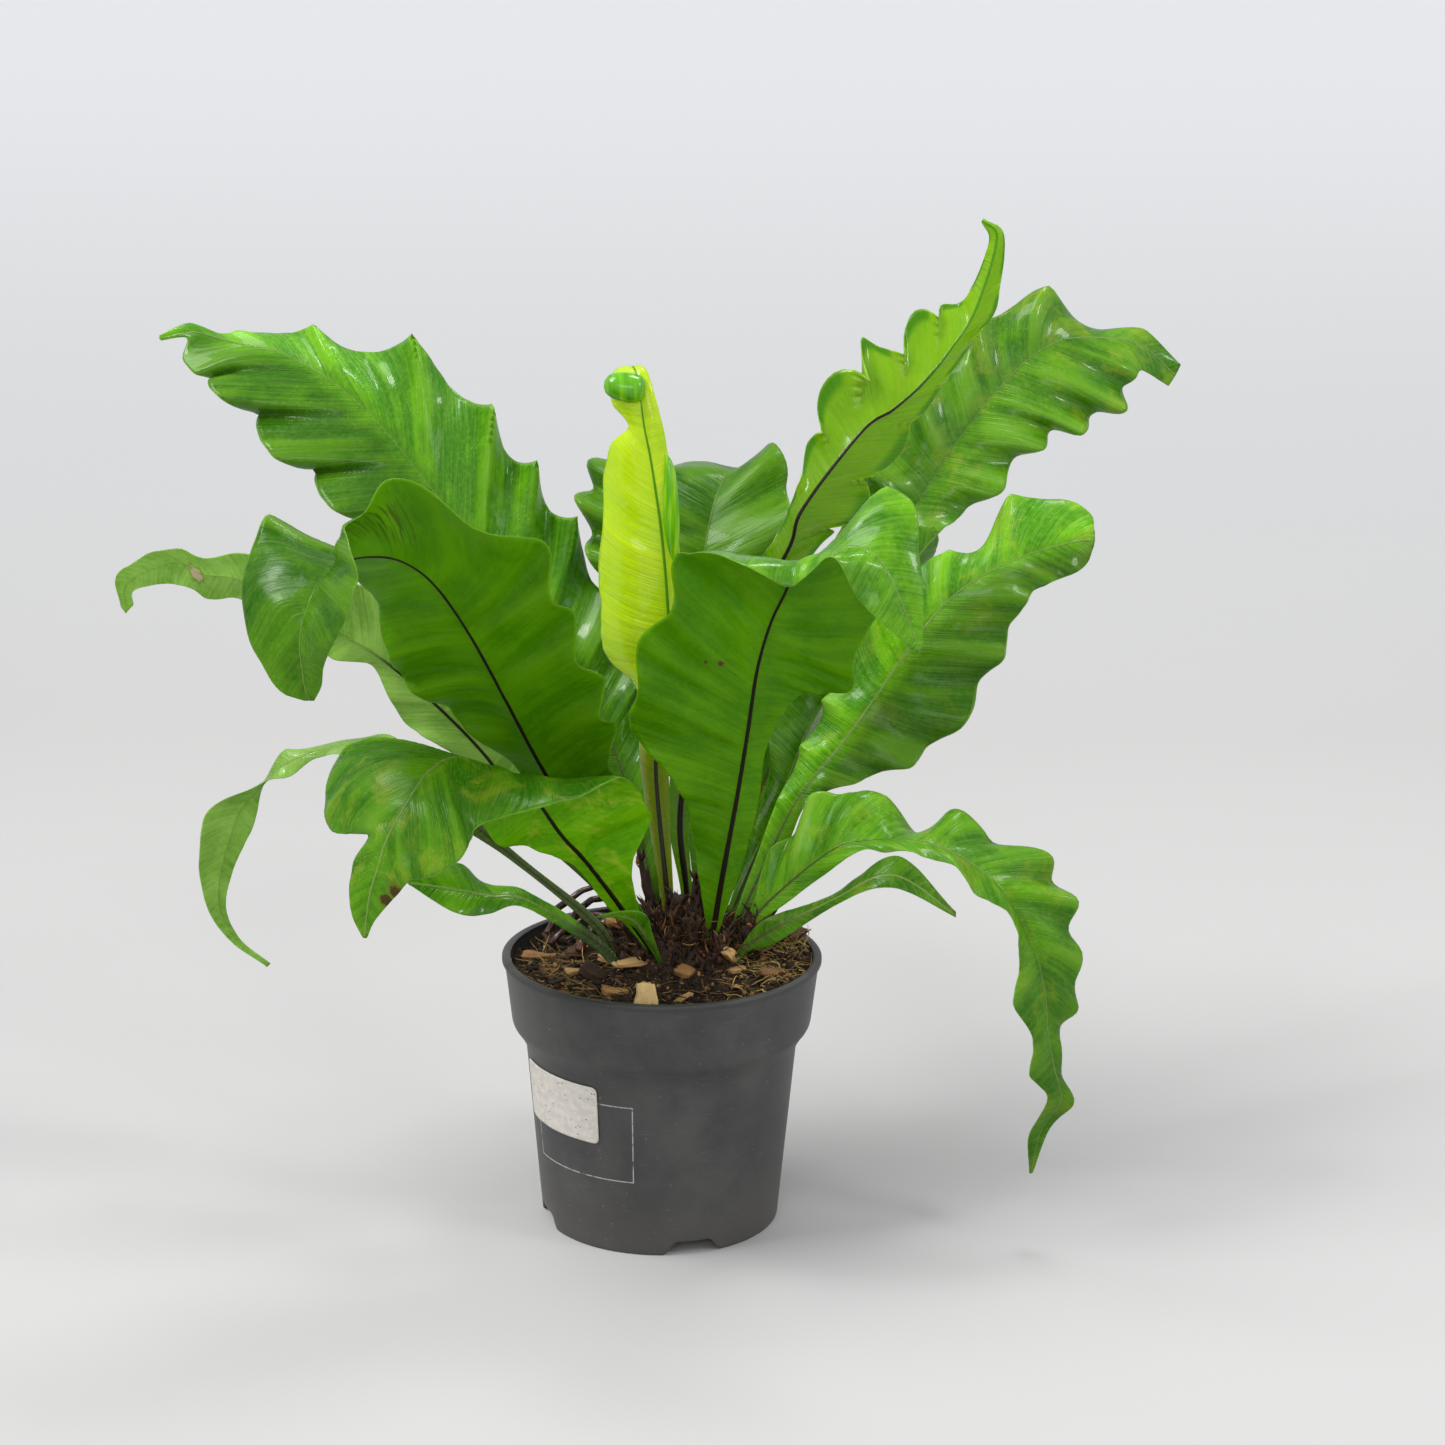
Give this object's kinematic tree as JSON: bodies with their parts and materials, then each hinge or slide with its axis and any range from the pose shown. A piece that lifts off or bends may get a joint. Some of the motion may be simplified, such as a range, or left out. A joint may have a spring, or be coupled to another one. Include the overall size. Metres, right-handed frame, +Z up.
{
  "type": "potted birds nest fern",
  "caption": "Bird's nest fern in a plastic nursery pot: wavy strap fronds in a rosette from a scaly crown, set in compost",
  "frame": {"origin": "centre of the pot's base, on the surface that it stands on", "axes": "+Z up, the pot's axis; -Y towards the side the picture shows; +X to the right of it"},
  "size_m": [0.5856, 0.3635, 0.5321],
  "materials": {
    "pot_plastic": "matte charcoal, dusty and scuffed",
    "sticker_paper": "matt white paper",
    "compost": "loose bark and fibre",
    "crown_scales": "dry brown scales",
    "frond_green": "glossy mid-green leaf, dark keel",
    "young_frond_lime": "glossy lime leaf"
  },
  "bodies": {
    "root": {"pot": "pot_plastic", "sticker": "sticker_paper", "compost": "compost", "crown": "crown_scales", "frond_back_left": "frond_green", "frond_left": "frond_green", "frond_left_far": "frond_green", "frond_low_left": "frond_green", "frond_trailing_left": "frond_green", "frond_short_left": "frond_green", "frond_front": "frond_green", "frond_back_right": "frond_green", "frond_right": "frond_green", "frond_low_right": "frond_green", "frond_short_right": "frond_green", "frond_back": "frond_green", "frond_inner_right": "frond_green", "frond_young_middle": "young_frond_lime", "frond_young_right": "young_frond_lime"}
  },
  "joints": []
}
